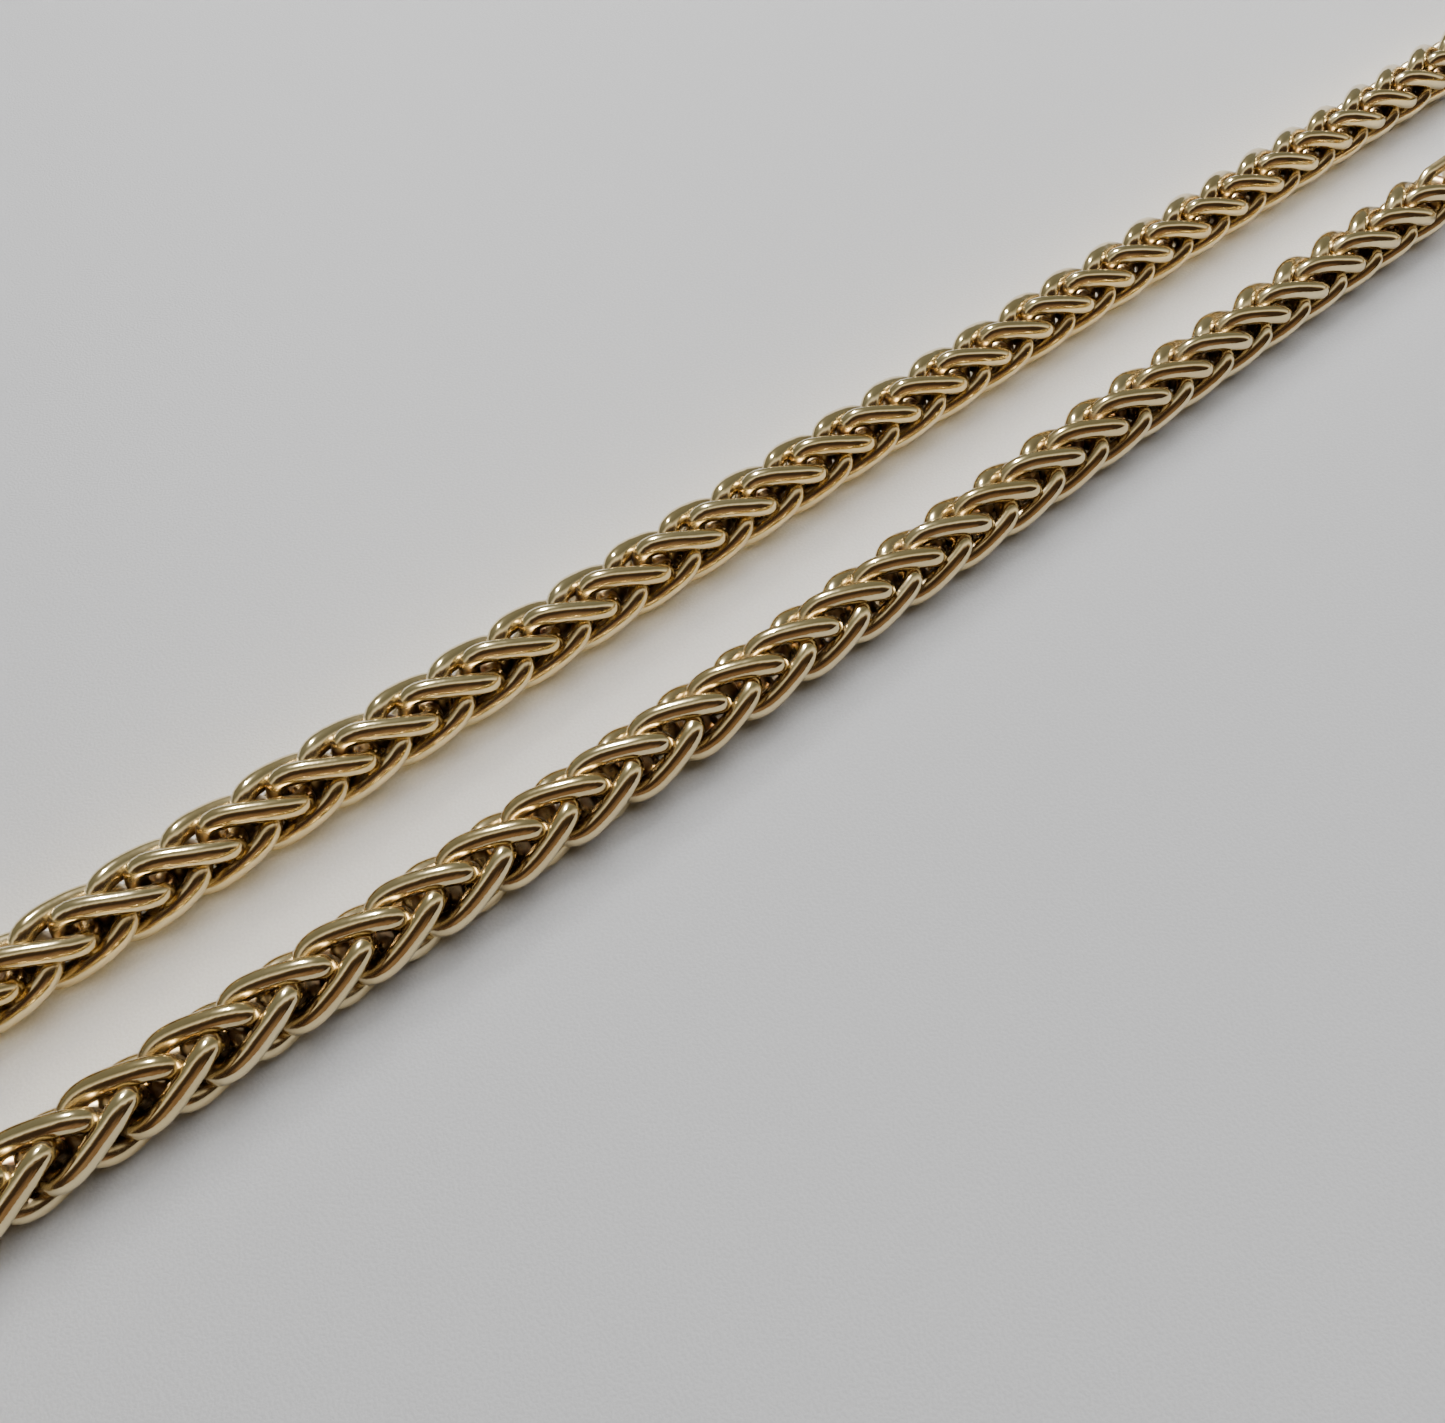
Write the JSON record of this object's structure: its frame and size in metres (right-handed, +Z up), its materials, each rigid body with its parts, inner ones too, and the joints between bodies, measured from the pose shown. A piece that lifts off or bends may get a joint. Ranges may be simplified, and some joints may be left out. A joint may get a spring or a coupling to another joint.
{
  "type": "wheat chain necklace",
  "caption": "Gold wheat chain necklace of interlocked twisted oval links, closed by end rings and a clasp, laid flat in a long loop.",
  "frame": {"origin": "under the middle of the necklace's bounding box, on the surface that it lies on", "axes": "+X along the two straight strands towards the clasp, +Y from the near strand to the far one, +Z up"},
  "size_m": [0.2558, 0.0494, 0.0065],
  "materials": {
    "gold_weave": "polished pale yellow gold, worn, with dark tarnish in the recesses",
    "gold_ring": "polished pale yellow gold",
    "gold_clasp": "polished pale yellow gold with fine scratches"
  },
  "bodies": {
    "root": {"chain_near": "gold_weave", "chain_far": "gold_weave", "end_ring_near": "gold_ring", "end_ring_far": "gold_ring", "clasp": "gold_clasp"}
  },
  "joints": []
}
